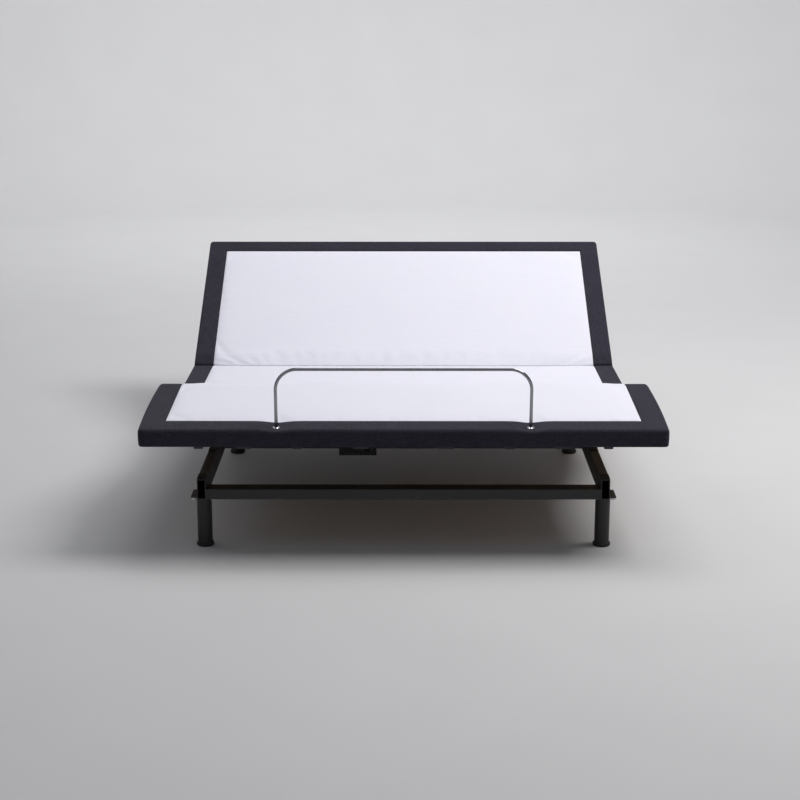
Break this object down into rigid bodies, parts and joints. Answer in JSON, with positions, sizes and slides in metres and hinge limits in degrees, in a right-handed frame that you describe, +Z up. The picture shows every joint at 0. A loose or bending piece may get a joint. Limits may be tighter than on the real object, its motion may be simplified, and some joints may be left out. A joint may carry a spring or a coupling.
{
  "type": "adjustable bed base",
  "caption": "Upholstered bed base whose head, thigh and foot sections fold up on a steel frame by electric lift drives, with a mattress retainer bar.",
  "frame": {"origin": "on the floor, under the middle of the whole base as stored", "axes": "+X to the side, +Y towards the head end, +Z up"},
  "size_m": [1.524, 1.978, 0.633],
  "materials": {
    "charcoal": "matte",
    "white_cloth": "matte",
    "foam_grey": "matte",
    "plywood": "matte",
    "frame_black": "satin",
    "zinc": "satin",
    "chrome": "polished",
    "nylon": "satin",
    "black_plastic": "satin"
  },
  "bodies": {
    "frame": {"side_rails": "frame_black", "cross_rails": "frame_black", "motor_rails": "frame_black", "headboard_plates": "frame_black", "deck_pads": "black_plastic", "frame_hinge_ears": "zinc", "pivot_pins": "zinc", "shaft_brackets": "zinc", "shaft_bushes": "nylon", "motor_brackets": "frame_black", "control_box": "black_plastic", "power_supply": "black_plastic", "legs": "frame_black", "leg_plates": "frame_black", "leg_glides": "black_plastic", "seat_board": "plywood", "seat_foam": "foam_grey", "seat_border": "charcoal", "seat_panel": "white_cloth"},
    "head_section": {"head_board": "plywood", "head_foam": "foam_grey", "head_border": "charcoal", "head_panel": "white_cloth", "head_frame": "frame_black", "head_hinge_ears": "zinc", "head_glide_strips": "nylon"},
    "thigh_section": {"thigh_board": "plywood", "thigh_foam": "foam_grey", "thigh_border": "charcoal", "thigh_panel": "white_cloth", "thigh_frame": "frame_black", "thigh_hinge_ears": "zinc", "thigh_glide_strips": "nylon"},
    "foot_section": {"foot_board": "plywood", "foot_foam": "foam_grey", "foot_border": "charcoal", "foot_panel": "white_cloth", "foot_frame": "frame_black", "knee_ears": "zinc", "knee_pins": "zinc", "link_brackets": "zinc", "cover_clips": "black_plastic", "retainer_sockets": "chrome"},
    "retainer": {"retainer_bar": "chrome"},
    "head_arm": {"head_shaft": "zinc", "head_lift_arms": "frame_black", "head_drive_lever": "frame_black"},
    "head_roller_pair": {"head_rollers": "nylon"},
    "leg_arm": {"leg_shaft": "zinc", "leg_lift_arms": "frame_black", "leg_drive_lever": "frame_black"},
    "leg_roller_pair": {"leg_rollers": "nylon"},
    "head_drive": {"head_drive_housing": "black_plastic", "head_drive_tube": "zinc"},
    "head_drive_ram": {"head_drive_rod": "chrome"},
    "leg_drive": {"leg_drive_housing": "black_plastic", "leg_drive_tube": "zinc"},
    "leg_drive_ram": {"leg_drive_rod": "chrome"},
    "foot_link_pair": {"foot_links": "zinc"}
  },
  "joints": [
    {"name": "head_tilt", "type": "hinge", "parent": "frame", "child": "head_section", "pos_m": [0, 0.29904, 0.2415], "axis": [1, 0, 0], "range_deg": [-30, 30]},
    {"name": "leg_lift", "type": "hinge", "parent": "frame", "child": "thigh_section", "pos_m": [0, -0.10096, 0.2415], "axis": [-1, 0, 0], "range_deg": [-17, 23]},
    {"name": "knee_bend", "type": "hinge", "parent": "thigh_section", "child": "foot_section", "pos_m": [0, -0.54086, 0.37599], "axis": [-1, 0, 0], "range_deg": [-27.62, 20.5]},
    {"name": "head_arm_swing", "type": "hinge", "parent": "frame", "child": "head_arm", "pos_m": [0, 0.21904, 0.1971], "axis": [1, 0, 0], "range_deg": [-23.62, 23.62]},
    {"name": "leg_arm_swing", "type": "hinge", "parent": "frame", "child": "leg_arm", "pos_m": [0, -0.02096, 0.1971], "axis": [-1, 0, 0], "range_deg": [-12.25, 16.46]},
    {"name": "head_drive_swing", "type": "hinge", "parent": "frame", "child": "head_drive", "pos_m": [-0.12, -0.29696, 0.1331], "axis": [1, 0, 0], "range_deg": [-0.4277, 0.4277]},
    {"name": "head_ram_slide", "type": "slide", "parent": "head_drive", "child": "head_drive_ram", "axis": [0, 0.9976, -0.0696], "range_m": [-0.0432, 0.0432]},
    {"name": "leg_drive_swing", "type": "hinge", "parent": "frame", "child": "leg_drive", "pos_m": [0.12, 0.59904, 0.1331], "axis": [-1, 0, 0], "range_deg": [-0.2154, 0.2562]},
    {"name": "leg_ram_slide", "type": "slide", "parent": "leg_drive", "child": "leg_drive_ram", "axis": [0, -0.9983, -0.0583], "range_m": [-0.0226, 0.0303]},
    {"name": "foot_link_swing", "type": "hinge", "parent": "frame", "child": "foot_link_pair", "pos_m": [0, -0.25526, 0.19], "axis": [-1, 0, 0], "range_deg": [-19.1, 25.74]},
    {"name": "retainer_lift", "type": "slide", "parent": "foot_section", "child": "retainer", "axis": [0, -0.0558, 0.9984], "range_m": [0, 0.04]},
    {"name": "head_roller_spin", "type": "hinge", "parent": "head_arm", "child": "head_roller_pair", "pos_m": [0, 0.58635, 0.35546], "axis": [1, 0, 0], "continuous": true},
    {"name": "leg_roller_spin", "type": "hinge", "parent": "leg_arm", "child": "leg_roller_pair", "pos_m": [0, -0.31447, 0.2592], "axis": [-1, 0, 0], "continuous": true}
  ],
  "couplings": [
    {"joint": "knee_bend", "follows": "leg_lift", "ratio": -1.188},
    {"joint": "head_arm_swing", "follows": "head_tilt", "ratio": 0.7774},
    {"joint": "leg_arm_swing", "follows": "leg_lift", "ratio": 0.7027},
    {"joint": "head_drive_swing", "follows": "head_tilt", "ratio": 0.010924},
    {"joint": "head_ram_slide", "follows": "head_tilt", "m_per_rad": 0.080653},
    {"joint": "leg_drive_swing", "follows": "leg_lift", "ratio": 0.006791},
    {"joint": "leg_ram_slide", "follows": "leg_lift", "m_per_rad": 0.072958},
    {"joint": "foot_link_swing", "follows": "leg_lift", "ratio": 1.106}
  ]
}
